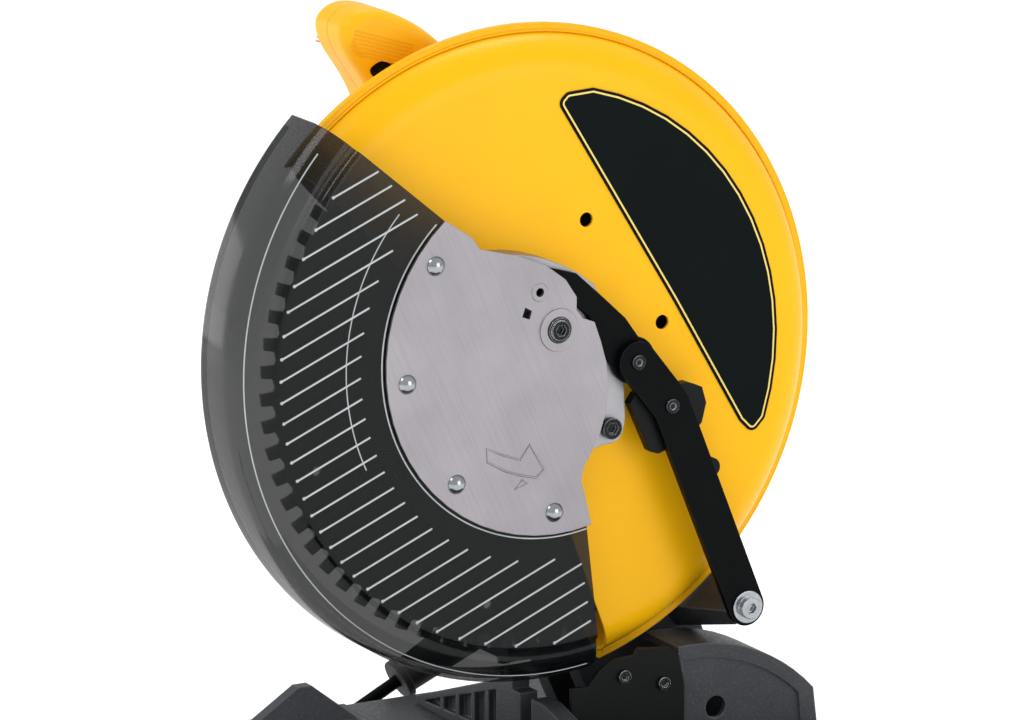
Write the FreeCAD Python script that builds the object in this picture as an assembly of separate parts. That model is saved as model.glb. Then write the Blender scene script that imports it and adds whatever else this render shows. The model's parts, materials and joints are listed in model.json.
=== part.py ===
import FreeCAD, Part
import math
import os

# Cut-off chop saw with a 355 mm toothed blade. Millimetres, +Z up, -Y to the operator,
# blade plane at x = 0, origin at the centre of the four bench bolts under the feet.

# Driving dimensions
blade_r = 177.5
blade_teeth = 66
blade_half = 1.2
arbor_y, arbor_z = 45.0, 305.0          # spindle axis with the head raised
table_z = 55.0
foot_h = 12.0
base_x0, base_x1 = -160.0, 150.0
base_y0, base_y1 = -245.0, 245.0
bolt_x, bolt_y, bolt_r = 125.0, 200.0, 4.5
pivot_y, pivot_z = 105.0, 145.0         # head hinge
link_y, link_z = 179.4, 142.9           # lower pin of the guard link
guard_y, guard_z = 47.7, 330.6          # lower guard hinge
pin_y, pin_z = 34.7, 354.8              # upper end of the guard link
sweep_y, sweep_z = 45.0, 318.5          # centre of the lower guard's arcs
plate_r = 113.0
motor_y, motor_z = 97.0, 330.1
gear_teeth, pinion_teeth, gear_module = 66, 11, 1.5
screw_x, screw_z = -40.0, 72.0          # vise screw axis
fence_y = 45.0
fence_pin_x, fence_pin_y = -70.0, 71.0
fence_lock_r = 130.0
lever_x, lever_y, lever_z = -176.0, -19.0, 25.3
lever_tilt = 26.7
trigger_y, trigger_z, trigger_pin_r = 0.0, 479.0, 1.8
gap = 0.3                               # between bodies that slide past each other
fit = 0.05                              # running clearance on a radius

V = FreeCAD.Vector
os.makedirs("parts", exist_ok=True)


# Shape helpers
def block(x0, x1, y0, y1, z0, z1):
    return Part.makeBox(x1 - x0, y1 - y0, z1 - z0, V(x0, y0, z0))


def disc(y, z, r, x0, x1):
    return Part.makeCylinder(r, x1 - x0, V(x0, y, z), V(1, 0, 0))


def tube(y, z, r_out, r_in, x0, x1):
    return disc(y, z, r_out, x0, x1).cut(disc(y, z, r_in, x0 - 1, x1 + 1))


def post(x, y, r, z0, z1):
    return Part.makeCylinder(r, z1 - z0, V(x, y, z0), V(0, 0, 1))


def rod(x, z, r, y0, y1):
    return Part.makeCylinder(r, y1 - y0, V(x, y0, z), V(0, 1, 0))


def fuse(shapes):
    return shapes[0].multiFuse(shapes[1:]).removeSplitter()


def prism(points, x0, x1):
    """Side outline of (y, z) points, extruded across the machine."""
    loop = [V(x0, y, z) for y, z in points]
    return Part.Face(Part.makePolygon(loop + loop[:1])).extrude(V(x1 - x0, 0, 0))


def about(y, z, points):
    return [(y + a, z + b) for a, b in points]


def arc_points(y, z, r, start, stop, count):
    step = (stop - start) / (count - 1)
    angles = [math.radians(start + step * i) for i in range(count)]
    return [(y + r * math.cos(a), z + r * math.sin(a)) for a in angles]


def bar(y0, z0, r0, y1, z1, r1, x0, x1):
    """Flat link with round ends of two radii."""
    run = math.hypot(y1 - y0, z1 - z0)
    aim = math.atan2(z1 - z0, y1 - y0)
    side = math.acos((r0 - r1) / run)
    corners = []
    for turn in (side, -side):
        a = aim + turn
        ends = [(y0 + r0 * math.cos(a), z0 + r0 * math.sin(a)), (y1 + r1 * math.cos(a),
            z1 + r1 * math.sin(a))]
        corners += ends if turn > 0 else ends[::-1]
    return fuse([prism(corners, x0, x1), disc(y0, z0, r0, x0, x1), disc(y1, z1, r1, x0, x1)])


def sector(y, z, r, start, stop, x0, x1):
    """Pie slice from one angle to the next, anticlockwise seen from +X."""
    a, m, b = (math.radians(t) for t in (start, (start + stop) / 2, stop))
    rim = [V(x0, y + r * math.cos(t), z + r * math.sin(t)) for t in (a, m, b)]
    hub = V(x0, y, z)
    edges = [Part.LineSegment(hub, rim[0]).toShape(), Part.Arc(*rim).toShape(),
        Part.LineSegment(rim[2], hub).toShape()]
    return Part.Face(Part.Wire(edges)).extrude(V(x1 - x0, 0, 0))


def turned(y, z, steps):
    """Solid of revolution about X: each step is (radius, x), or a pair for an arc's middle and end."""
    here = steps[0]
    edges = []
    for step in steps[1:] + steps[:1]:
        if isinstance(step[0], tuple):
            middle, end = step
            edges.append(Part.Arc(*[V(x, y, z + r) for r, x in (here, middle, end)]).toShape())
        else:
            end = step
            edges.append(Part.LineSegment(*[V(x, y, z + r) for r, x in (here, end)]).toShape())
        here = end
    return Part.Face(Part.Wire(edges)).revolve(V(0, y, z), V(1, 0, 0), 360)


def hexagon(y, z, across, x0, x1):
    r = across / math.sqrt(3)
    return prism(arc_points(y, z, r, 0, 300, 6), x0, x1)


def rounded(shape, r):
    """Rounds the circular rims of a plain disc or rod."""
    return shape.makeFillet(r, [e for e in shape.Edges if len(e.Vertexes) == 1])


def socket_screw(y, z, r, shank, x_head, head, length):
    """Cap screw that points at -X, with a hexagon socket in its head."""
    body = fuse([disc(y, z, r, x_head - head, x_head), disc(y, z, shank, x_head - length, x_head)])
    return body.cut(hexagon(y, z, r, x_head - head * 0.6, x_head + 1))


def gear(y, z, teeth, aim, x0, x1, phase):
    """Spur gear with narrow straight-sided teeth; phase 0 puts a tooth on the aim angle."""
    pitch_r = teeth * gear_module / 2
    step = 2 * math.pi / teeth
    profile = ((-0.30, -1.7), (-0.13, 1.2), (0.13, 1.2), (0.30, -1.7))
    points = []
    for i in range(teeth):
        centre = aim + (i + phase) * step
        for turn, lift in profile:
            a = centre + turn * step
            r = pitch_r + lift
            points.append((y + r * math.cos(a), z + r * math.sin(a)))
    return prism(points, x0, x1)


def save(name, shape):
    shape.exportStep("parts/" + name + ".step")


def group(shapes):
    return Part.makeCompound(shapes)


def base_casting():
    shell = block(base_x0, base_x1, base_y0, base_y1, foot_h, table_z)
    corners = [e for e in shell.Edges if abs(e.tangentAt(0).z) > 0.9]
    shell = shell.makeFillet(24, corners)
    hollow = block(base_x0 + 6, base_x1 - 6, base_y0 + 6, base_y1 - 6, 0, table_z - 8)
    hollow = hollow.makeFillet(18, [e for e in hollow.Edges if abs(e.tangentAt(0).z) > 0.9])
    shell = shell.cut(hollow)
    ribs = [block(base_x0 + 3, base_x1 - 3, y, y + 5, 26, table_z - 4) for y in (-185, 100)]
    ribs += [block(x, x + 5, base_y0 + 3, base_y1 - 3, 32, table_z - 4) for x in (-115, 102)]
    bosses = [post(x, y, 15, foot_h, table_z - 4) for x in (-bolt_x, bolt_x) for y in (-bolt_y, bolt_y)]
    lever_boss = disc(lever_y, lever_z, 11, base_x0 - 5, base_x0 + 6)
    body = fuse([shell] + ribs + bosses + [lever_boss])
    holes = [post(x, y, bolt_r, 0, 80) for x in (-bolt_x, bolt_x) for y in (-bolt_y, bolt_y)]
    slot = fuse([block(-7, 7, -150, 52, 0, 80), post(0, -150, 7, 0, 80), post(0, 52, 7, 0, 80)])
    track = Part.makeCylinder(fence_lock_r + 4.5, 30, V(fence_pin_x, fence_pin_y, 40))
    track = track.cut(Part.makeCylinder(fence_lock_r - 4.5, 30, V(fence_pin_x, fence_pin_y, 40)))
    wedge = Part.makeCylinder(fence_lock_r + 20, 30, V(fence_pin_x, fence_pin_y, 40), V(0, 0, 1), 49)
    wedge.rotate(V(fence_pin_x, fence_pin_y, 0), V(0, 0, 1), -47)
    pin_hole = post(fence_pin_x, fence_pin_y, 5, 20, 80)
    return body.cut(group(holes + [slot, track.common(wedge), pin_hole, disc(lever_y, lever_z, 5,
        -170, -150)]))


def rubber_feet():
    feet = []
    for x in (-bolt_x, bolt_x):
        for y in (-bolt_y, bolt_y):
            cone = Part.makeCone(20, 17, foot_h, V(x, y, 0))
            feet.append(cone.cut(post(x, y, bolt_r, -1, 20)))
    return group(feet)


def bracket_side(x0, x1):
    foot = prism([(118, 55), (208, 55), (200, 78), (180, 132), (131, 155), (86, 127)], x0, x1)
    return fuse([foot, disc(pivot_y, pivot_z, 27, x0, x1)])


def pivot_bracket():
    sides = [bracket_side(-100, -84), bracket_side(-46, -30)]
    back = prism([(150, 55), (206, 55), (178, 130), (160, 130)], -85, -45)
    shelf = block(-85, -45, 58, 112, 104, 116)
    out = math.atan2(link_z - arbor_z, link_y - arbor_y)

    def end(inner, outer, low, high, x):
        spots = ((inner, low), (outer, low), (outer, high), (inner, high))
        ring = []
        for u, t in spots:
            y = arbor_y + u * math.cos(out) - t * math.sin(out)
            z = arbor_z + u * math.sin(out) + t * math.cos(out)
            ring.append(V(x, y, z))
        return Part.makePolygon(ring + ring[:1])
    arm = Part.makeLoft([end(204.6, 224, -26, 14, -32), end(204.6, 217, -11, 8, 31)], True, True)
    body = fuse(sides + [back, shelf, arm, disc(link_y, link_z, 6, 20, 31)])
    holes = [disc(pivot_y, pivot_z, 8, -110, -20), post(-65, 66, 4, 100, 120), disc(link_y, link_z, 3,
        4, 40)]
    return body.cut(group(holes + [disc(131, 112, 4 + fit, -110, -60)]))


def pivot_shaft():
    shaft = disc(pivot_y, pivot_z, 8 - fit, -104, -28)
    return shaft.cut(tube(pivot_y, pivot_z, 10, 7.2, -102.6, -101.4))


def shaft_clip():
    return tube(pivot_y, pivot_z, 12, 7.3, -102.5, -101.5).cut(block(-110, -90, pivot_y - 4,
        pivot_y + 4, 120, 144))


def pivot_spring():
    """Close-wound torsion spring with its two tangs."""
    wire, pitch = 1.35, 2.5
    coils = [Part.makeTorus(12, wire, V(-69.5 + pitch * i, pivot_y, pivot_z), V(1, 0,
        0)) for i in range(4)]
    tangs = [post(x, pivot_y + 12 * side, wire, pivot_z, pivot_z + 12) for x, side in ((-69.5, -1),
        (-62.0, 1))]
    return fuse(coils + tangs)


def stop_bolt():
    bolt = fuse([post(-65, 66, 4 - fit, 98, 139), post(-65, 66, 5.5, 134, 139)])
    nut = block(-72, -58, 59, 73, 116, 122).common(post(-65, 66, 7.6, 116, 122)).cut(post(-65, 66, 4,
        110, 130))
    return group([bolt, nut])


def lock_pin():
    return fuse([disc(131, 112, 4, -112, -86), rounded(disc(131, 112, 10, -122, -110), 2)])


def rear_hood():
    cy, cz, r = 145.0, 3.7, 117.8
    outline = [(136, table_z)] + arc_points(cy, cz, r, 94.3, 42, 12) + [(236, table_z)]
    whole = prism(outline, -12, 28)
    inner = [(126, 40)] + arc_points(cy, cz, r - 5, 100, 42.5, 12) + [(229, 40)]
    hollow = prism(inner, -20, 22)
    recess = [(139, table_z + 5)] + arc_points(cy, cz, r - 9, 93, 45, 10) + [(224, table_z + 5)]
    wall = prism([(88, table_z), (88, 100), (96, 118), (134, 118), (134, table_z)], 22, 28)
    body = fuse([whole.cut(hollow), wall])
    foot = block(22, 28, 57, 90, 55, 56)
    holes = [disc(163.8, 79, 7, 10, 40), disc(96, 109, 2.5, 10, 40), disc(123.6, 101, 2.5, 10, 40)]
    return body.cut(group([prism(recess, 26, 30), foot] + holes))


def chip_plate():
    outline = [(60, 64), (60, 106), (71.5, 105.6), (79, 114.5), (88, 120), (104, 121), (106, 125)]
    outline += [(128, 123), (135, 117), (139, 98), (139, table_z + 1), (88, table_z + 1), (88, 64)]
    plate = prism(outline, 28, 31)
    return plate.cut(group([disc(96, 109, 2.5, 20, 40), disc(123.6, 101, 2.5, 20, 40)]))


def chip_plate_screws():
    return group([socket_screw(y, z, 4.2, 2.45, 33.4, 2.4, 10) for y, z in ((96, 109), (123.6, 101))])


def link_screw():
    body = fuse([disc(link_y, link_z, 2.95, 8, 42), disc(link_y, link_z, 6.6, 37.8, 42)])
    sleeve = tube(link_y, link_z, 5 - fit, 2.97, 31, 36.8)
    washer = tube(link_y, link_z, 10.2, 2.97, 36.8, 37.8)
    return group([body.cut(hexagon(link_y, link_z, 6, 39, 43)), sleeve, washer])


def fence():
    far = [(-140, 61), (-34, 98), (-27, 105), (-16, 105), (-16, 96), (-6, 96), (-6, table_z + gap),
        (-140, table_z + gap)]
    near = [(8, 96), (24, 96), (60, 86), (112, 64), (112, table_z + gap), (8, table_z + gap)]

    def wing(points, y0, y1):
        loop = [V(x, y0, z) for x, z in points]
        return Part.Face(Part.makePolygon(loop + loop[:1])).extrude(V(0, y1 - y0, 0))
    flange = block(-115, 100, fence_y + 6, fence_y + 40, table_z + gap, table_z + 7)
    body = fuse([wing(far, fence_y, fence_y + 12), wing(near, fence_y, fence_y + 12), flange])
    pocket = [(-128, 61), (-36, 91), (-36, 64), (-128, 60)]
    body = body.cut(wing(pocket, fence_y - 1, fence_y + 4))
    ribs = [block(x, x + 4, fence_y, fence_y + 5, 60, 62 + (x + 128) * 0.32) for x in (-108, -88, -68,
        -50)]
    gussets = []
    for x in (-30, 14):
        tri = [V(x, fence_y + 10, 90), V(x, fence_y + 10, 60), V(x, fence_y + 36, 60)]
        gussets.append(Part.Face(Part.makePolygon(tri + tri[:1])).extrude(V(6, 0, 0)))
    body = fuse([body] + ribs + gussets)
    holes = [post(fence_pin_x, fence_pin_y, 5 + fit, 50, 80)]
    holes.append(post(fence_pin_x + fence_lock_r, fence_pin_y, 4, 50, 80))
    blade_way = block(-6, 8, fence_y - 10, fence_y + 12.1, 50, 110)
    return body.cut(group(holes + [blade_way]))


def cap_bolt(x, y, shank, z0, z_seat, head_r):
    body = fuse([post(x, y, shank, z0, z_seat + 8), post(x, y, head_r, z_seat, z_seat + 8)])
    return body.cut(post(x, y, head_r * 0.5, z_seat + 3, z_seat + 9))


def fence_pivot_bolt():
    bolt = cap_bolt(fence_pin_x, fence_pin_y, 4.97, 40, table_z + 9.4, 8)
    ring = post(fence_pin_x, fence_pin_y, 12, table_z + 7.4, table_z + 9.4)
    return group([bolt, ring.cut(post(fence_pin_x, fence_pin_y, 5, 50, 80))])


def fence_lock():
    x = fence_pin_x + fence_lock_r
    bolt = post(x, fence_pin_y, 3.95, 36, table_z + 22)
    knob = post(x, fence_pin_y, 10, table_z + 9, table_z + 26)
    lobes = [post(x + 9 * math.cos(a), fence_pin_y + 9 * math.sin(a), 3.6, table_z + 9, table_z + 26)
             for a in [math.radians(60 * i) for i in range(6)]]
    nut = post(x, fence_pin_y, 9, 39, table_z - 8 - gap)
    return fuse([bolt, knob, nut, post(x, fence_pin_y, 7, table_z + 7, table_z + 9)] + lobes)


def vise_nut():
    body = fuse([block(-64, -16, -236, -208, table_z, 62), block(-56, -24, -236, -208, table_z, 92)])
    body = body.makeFillet(3, [e for e in body.Edges if abs(e.CenterOfMass.z - 92) < 0.1])
    return body.cut(group([rod(screw_x, screw_z, 7 + fit, -240, -200)] + [post(x, -222, 3, 40,
        70) for x in (-60, -20)]))


def vise_carriage():
    slide = block(-62, -18, -136, -48, table_z + gap, 86)
    nose = block(-78, -12, -50, -38, table_z + gap, 83)
    fin = prism([(-146, 75), (-90.5, 111), (-81.5, 111), (-46, 83), (-46, 60), (-146, 60)], -44, -36)
    body = fuse([slide, nose, fin])
    grooves = [block(-80, -10, -38.8, -37, z, z + 1.2) for z in (61, 66, 71, 76)]
    return body.cut(group([rod(screw_x, screw_z, 7 + fit, -150, -100), rod(screw_x, screw_z, 10.2,
        -118, -110)] + grooves))


def vise_screw():
    core = rod(screw_x, screw_z, 6.2, -345, -101)
    threads = [rod(screw_x, screw_z, 7, y, y + 3) for y in range(-330, -142, 6)]
    collar = rod(screw_x, screw_z, 10, -117.8, -110.2)
    return fuse([core, collar, rod(screw_x, screw_z, 7, -136, -117)] + threads)


def vise_crank():
    hub = rod(screw_x, screw_z, 12, -357, -337)
    arm = fuse([block(screw_x - 6, screw_x + 6, -352, -344, screw_z, screw_z + 52), rod(screw_x,
        screw_z + 52, 8, -352, -344)])
    pin = rod(screw_x, screw_z + 52, 4, -404, -344)
    head = rod(screw_x, screw_z + 52, 6, -404, -401)
    return fuse([hub, arm, pin, head]).cut(rod(screw_x, screw_z, 6.2, -345, -330))


def crank_grip():
    grip = rod(screw_x, screw_z + 52, 11, -400.6, -352.4)
    return rounded(grip, 3).cut(rod(screw_x, screw_z + 52, 4 + fit, -410, -340))


def tilted(shape, x, y, z, angle):
    shape.rotate(V(x, y, z), V(1, 0, 0), angle)
    return shape


def release_lever():
    stem = fuse([rod(lever_x, lever_z, 4, lever_y, lever_y + 122), disc(lever_y, lever_z, 9,
        lever_x - 5, lever_x + 9)])
    pin = disc(lever_y, lever_z, 5 - fit, lever_x, -152)
    return tilted(fuse([stem, pin]), lever_x, lever_y, lever_z, lever_tilt)


def lever_grip():
    y0 = lever_y + 78
    body = Part.makeCone(11, 13.5, 52, V(lever_x, y0 + 5, lever_z), V(0, 1, 0))
    lip = rod(lever_x, lever_z, 13.5, y0, y0 + 5)
    grip = fuse([body, lip]).cut(rod(lever_x, lever_z, 4, y0 - 1, lever_y + 122))
    return tilted(grip, lever_x, lever_y, lever_z, lever_tilt)


# Head: guards, gear case, motor and handle
def open_sector(x0, x1):
    """The part of the wheel that the fixed guard leaves open."""
    corner = [(54, -184), (-10, -15), (-152, 132), (-260, 100), (-260, -260), (60, -260), (57, -200)]
    return prism(about(arbor_y, arbor_z, corner), x0, x1)


def upper_guard_near():
    steps = [(48, 9), (48, 11), (174, 11), ((191, 4), (197.5, -8)), (203, -8), (203, -10), (195.5, -10)]
    steps += [(195.5, -8), ((189.3, 2.6), (173.6, 9))]
    shell = turned(arbor_y, arbor_z, steps)
    cuts = [open_sector(-20, 20)]
    for y, z in ((35.7, 84.2), (88.3, 15.7)):
        cuts.append(disc(arbor_y + y, arbor_z + z, 4.4, 0, 20))
    return shell.cut(group(cuts))


def upper_guard_far():
    steps = [(33, -24), (33, -22), (173.6, -22), ((187, -18.5), (195.5, -13)), (195.5, -10.2), (203,
        -10.2)]
    steps += [(203, -12.2), (197.5, -12.2), ((189, -20), (174, -24))]
    return turned(arbor_y, arbor_z, steps).cut(open_sector(-40, 20))


def guard_badge():
    inner = [(22, 163), (16, 157), (96, 28), (143, -52), (152, -61), (159, -52)]
    start, stop = math.degrees(math.atan2(-52, 160.7)), math.degrees(math.atan2(163, 40))
    rim = arc_points(0, 0, 168.9, start, stop, 16)
    film = prism(about(arbor_y, arbor_z, inner[:5] + rim), 11, 11.8)
    tips = about(arbor_y, arbor_z, inner[:2] + inner[3:5] + [rim[0]])
    corners = [e for e in film.Edges if abs(e.tangentAt(0).x) > 0.9
               and any(math.hypot(e.CenterOfMass.y - y, e.CenterOfMass.z - z) < 0.5 for y, z in tips)]
    return film.makeFillet(5, corners)


def guard_hub():
    top = arc_points(-35.6, -32, 105, 50, 97, 8)
    outline = [(52, 10), (54, -36)] + arc_points(43, -41, 10, -10, -100, 6) + [(0, -58), (-46, -44),
        (-64, 0), (-60, 50)]
    body = prism(about(arbor_y, arbor_z, outline[::-1] + top), 11, 27)
    boss = disc(guard_y, guard_z, 8, 20, 34.2)
    room = disc(arbor_y, arbor_z, 36, 5, 23)
    holes = [disc(guard_y, guard_z, 4, 22, 40)] + [disc(y, z, 3, 0, 40) for y, z in hub_screw_spots()]
    return fuse([body, boss]).cut(group([room] + holes))


def hub_screw_spots():
    return about(arbor_y, arbor_z, [(43, -41), (-50, 8), (-8, 58.5)])


def hub_screws():
    lug = hub_screw_spots()[0]
    screws = [socket_screw(*lug, 6.5, 2.95, 31, 4, 20)]
    screws += [socket_screw(y, z, 4.5, 2.95, 27.3, 1.8, 16) for y, z in hub_screw_spots()[1:]]
    cut = [disc(y, z, 4.6, 25.4, 30) for y, z in hub_screw_spots()[1:]]
    return group(screws), group(cut)


def gear_aim():
    return math.atan2(motor_z - arbor_z, motor_y - arbor_y)


def head_casting():
    case = fuse([bar(arbor_y, arbor_z, 58, motor_y, motor_z, 42, -70, -26), disc(arbor_y, arbor_z, 31,
        -26, -10.5)])
    arm = bar(arbor_y + 42, arbor_z - 40, 30, pivot_y, pivot_z, 24, -74, -48)
    neck = prism(about(arbor_y, arbor_z, [(-62, 88), (30, 74), (45, 40), (-40, 30)]), -70, -44)
    body = fuse([case, arm, neck])
    cavity = [disc(arbor_y, arbor_z, 53, -80, -30), disc(motor_y, motor_z, 37, -80, -30)]
    cavity.append(disc(arbor_y, arbor_z, 26, -40, -5))
    cavity.append(disc(motor_y, motor_z, 10, -40, -27.5))
    fork = disc(pivot_y, pivot_z, 27, -71, -59)
    lock = rod(-57, arbor_z + 2, 6 + fit, arbor_y - 70, arbor_y - 40)
    holes = [disc(pivot_y, pivot_z, 10, -90, -40), fork, lock]
    body = body.cut(group(cavity[:2])).cut(group(cavity[2:])).cut(group(holes))
    slab = fuse([disc(pivot_y, pivot_z, 24, -82, -71), disc(pivot_y, pivot_z, 24, -59, -48)])
    return fuse([body, slab.cut(disc(pivot_y, pivot_z, 10, -90, -40))])


def gear_cover():
    plate = bar(arbor_y, arbor_z, 58, motor_y, motor_z, 42, -76, -70)
    seats = [disc(arbor_y, arbor_z, 20, -70, -60), disc(motor_y, motor_z, 20, -70, -54)]
    body = fuse([plate] + seats)
    cuts = [disc(arbor_y, arbor_z, 16, -72, -50), disc(motor_y, motor_z, 13, -72, -50)]
    cuts.append(disc(motor_y, motor_z, 9, -80, -50))
    arm_room = bar(arbor_y + 42, arbor_z - 40, 30.2, pivot_y, pivot_z, 24, -90, -48)
    return body.cut(group(cuts)).cut(arm_room)


def pivot_bushes():
    return group([tube(pivot_y, pivot_z, 10, 8, -82, -71), tube(pivot_y, pivot_z, 10, 8, -59, -48)])


def spindle():
    body = fuse([disc(arbor_y, arbor_z, 15 - fit, -34, -7), disc(arbor_y, arbor_z, 10 - fit, -69,
        -34), disc(arbor_y, arbor_z, 12.6, -7, 4.5)])
    body = body.cut(disc(arbor_y, arbor_z, 5, -20, 10))
    return body.cut(rod(-57, arbor_z + 2, 3, arbor_y - 20, arbor_y - 6))


def spindle_bearings():
    front = tube(arbor_y, arbor_z, 26, 15, -24, -11)
    rear = tube(arbor_y, arbor_z, 16, 10, -70, -61)
    return group([front, rear])


def bearing_grooves():
    return group([tube(arbor_y, arbor_z, 22.5, 18.5, -12, -10), tube(arbor_y, arbor_z, 14.5, 11.5,
        -61.8, -60)])


def blade_flanges():
    inner = tube(arbor_y, arbor_z, 32, 12.6, -7, -blade_half)
    outer = tube(arbor_y, arbor_z, 32, 12.6, blade_half, 5)
    return group([inner, outer])


def arbor_bolt():
    washer = tube(arbor_y, arbor_z, 14, 5, 5, 7.5)
    bolt = fuse([disc(arbor_y, arbor_z, 5, -18, 14), hexagon(arbor_y, arbor_z, 17, 7.5, 15)])
    return group([bolt, washer])


def blade():
    points = []
    step = 2 * math.pi / blade_teeth
    for i in range(blade_teeth):
        a = i * step
        for turn, r in ((0.0, 168.5), (0.16, 167.5), (0.50, 169.5), (0.80, 177.0), (0.96, blade_r)):
            b = a + turn * step
            points.append((arbor_y - r * math.cos(b), arbor_z + r * math.sin(b)))
    plate = prism(points, -blade_half, blade_half)
    slots = []
    for i in range(6):
        a = math.radians(60 * i + 20)
        slots.append(disc(arbor_y + 150 * math.cos(a), arbor_z + 150 * math.sin(a), 3, -5, 5))
    return plate.cut(group([disc(arbor_y, arbor_z, 12.6, -5, 5)] + slots))


def spindle_gear():
    wheel = gear(arbor_y, arbor_z, gear_teeth, gear_aim(), -48, -36, 0)
    cuts = [disc(arbor_y, arbor_z, 10, -60, -30)]
    cuts.append(tube(arbor_y, arbor_z, 40, 20, -50, -45))
    return wheel.cut(group(cuts))


def armature():
    shaft = disc(motor_y, motor_z, 5 - fit, -196, -30)
    pinion = gear(motor_y, motor_z, pinion_teeth, gear_aim() + math.pi, -49, -35, 0.5)
    core = disc(motor_y, motor_z, 27, -152, -98)
    slots = [disc(motor_y + 26.5 * math.cos(a), motor_z + 26.5 * math.sin(a), 2.2, -160, -90)
             for a in [math.radians(30 * i) for i in range(12)]]
    winding = [disc(motor_y, motor_z, 22, -160, -152), disc(motor_y, motor_z, 22, -98, -91)]
    commutator = disc(motor_y, motor_z, 15, -180, -160)
    return fuse([shaft, pinion, core.cut(group(slots))] + winding + [commutator])


def motor_fan():
    hub = tube(motor_y, motor_z, 14, 5, -88, -79)
    back = tube(motor_y, motor_z, 42, 5, -81, -79)
    blades = []
    for i in range(14):
        fin = block(-88, -80, motor_y + 16, motor_y + 41, motor_z - 0.9, motor_z + 0.9)
        fin.rotate(V(0, motor_y, motor_z), V(1, 0, 0), 360 / 14 * i)
        blades.append(fin)
    return fuse([hub, back] + blades)


def motor_bearings():
    return group([tube(motor_y, motor_z, 13, 5, -70, -60), tube(motor_y, motor_z, 11, 5, -194, -185)])


def stator():
    ring = tube(motor_y, motor_z, 49, 28.2, -150, -100)
    flats = [block(-160, -90, motor_y - 60, motor_y + 60, motor_z + s * 46 - 10 * (s < 0),
        motor_z + s * 46 + 10 * (s > 0)) for s in (-1, 1)]
    coils = [tube(motor_y, motor_z, 44, 30, x, x + 9) for x in (-159, -100)]
    return fuse([ring.cut(group(flats))] + coils)


def motor_housing():
    steps = [(54, -76.5), (54, -180), (49.6, -180), (49.6, -96), (46, -90), (46, -76.5)]
    shell = turned(motor_y, motor_z, steps)
    vents = []
    for i in range(16):
        slot = block(-92, -80, motor_y - 2, motor_y + 2, motor_z + 40, motor_z + 60)
        slot.rotate(V(0, motor_y, motor_z), V(1, 0, 0), 360 / 16 * i + 11)
        vents.append(slot)
    pads = [disc(motor_y, motor_z, 58, -100 - 18 * i, -97 - 18 * i).cut(disc(motor_y, motor_z, 53,
        -200, -50)) for i in range(4)]
    brush = [rod(-170, motor_z, 7.1, motor_y + s * 40 - 20, motor_y + s * 40 + 20) for s in (-1, 1)]
    return fuse([shell] + pads).cut(group(vents + brush))


def motor_end_cap():
    steps = [(54, -180.3), (54, -196), ((51, -205), (42, -209)), (0, -209), (0, -203), (40, -203),
        ((46.5, -200), (50, -194)), (50, -180.3)]
    cap = turned(motor_y, motor_z, steps)
    seat = tube(motor_y, motor_z, 15, 11, -204, -184)
    slots = [block(-212, -200, motor_y - 30, motor_y + 30, motor_z + z,
        motor_z + z + 3.4) for z in (-32, -25, 22, 29)]
    spider = block(-200, -185, motor_y - 51, motor_y + 51, motor_z - 4, motor_z + 4).cut(disc(motor_y,
        motor_z, 13, -220, -150))
    spider = spider.common(disc(motor_y, motor_z, 51, -210, -150))
    return fuse([cap, seat, spider]).cut(group(slots + [rod(-170, motor_z, 7.1, motor_y - 60,
        motor_y + 60)]))


def brush_sets():
    sets = []
    for side in (-1, 1):
        y0, y1 = sorted((motor_y + side * 57, motor_y + side * 42))
        cap = rod(-170, motor_z, 7, y0, y1)
        c0, c1 = sorted((motor_y + side * 42, motor_y + side * 15.2))
        sets.append(fuse([cap, block(-174, -166, c0, c1, motor_z - 4, motor_z + 4)]))
    return group(sets)


handle_outer = [(-58, 92), (-67, 112), (-72, 136), (-79, 158), (-90, 177), (-99, 192), (-100, 205),
    (-90, 213), (-76, 213),
                (-60, 207), (-42, 196), (-24, 181), (0, 168), (24, 157), (42, 145), (47, 128), (44,
                    108), (36, 92)]
handle_gap = [(-82, 180), (-76, 182.5), (-57, 173), (-30, 160), (-2, 146), (13, 137), (18, 127), (10,
    119),
              (-20, 117), (-46, 119), (-58, 128), (-66, 148), (-76, 168)]


def smooth_outline(points, x):
    curve = Part.BSplineCurve()
    spots = [V(x, y, z) for y, z in about(arbor_y, arbor_z, points)]
    curve.interpolate(Points=spots)
    return curve.toShape(), Part.LineSegment(spots[-1], spots[0]).toShape()


def handle_half(x0, x1, outer_x, pocket0, pocket1):
    rim, foot = smooth_outline(handle_outer, x0)
    body = Part.Face(Part.Wire([rim, foot])).extrude(V(x1 - x0, 0, 0))
    bent = [e for e in body.Edges if abs(e.CenterOfMass.x - outer_x) < 0.01 and e.Length > 120]
    body = body.makeFillet(9, bent)
    gap_curve = Part.BSplineCurve()
    gap_curve.interpolate(Points=[V(x0 - 1, y, z) for y, z in about(arbor_y, arbor_z, handle_gap)],
        PeriodicFlag=True)
    body = body.cut(Part.Face(Part.Wire([gap_curve.toShape()])).extrude(V(x1 - x0 + 2, 0, 0)))
    grip_room = [(-92, 197), (-89, 206), (-68, 203), (-40, 189), (-16, 170), (-16, 160), (-34, 172),
        (-50, 192), (-80, 197)]
    base_room = [(-52, 98), (-58, 106), (28, 110), (28, 98)]
    rooms = [prism(about(arbor_y, arbor_z, room), pocket0, pocket1) for room in (grip_room, base_room)]
    gland_seat = rod(-60, arbor_z + 126, 9.1, arbor_y + 46, arbor_y + 60)
    return body.cut(group(rooms + [gland_seat]))


def trigger_slot():
    """Room for the trigger and the hole for its pin."""
    room = prism(about(arbor_y, arbor_z, [(-84, 168), (-78, 192), (-60, 191), (-41, 184), (-36, 176),
        (-42, 150)]), -67, -53)
    return fuse([room, disc(trigger_y, trigger_z, trigger_pin_r + fit, -70.3, -49.7)])


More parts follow.
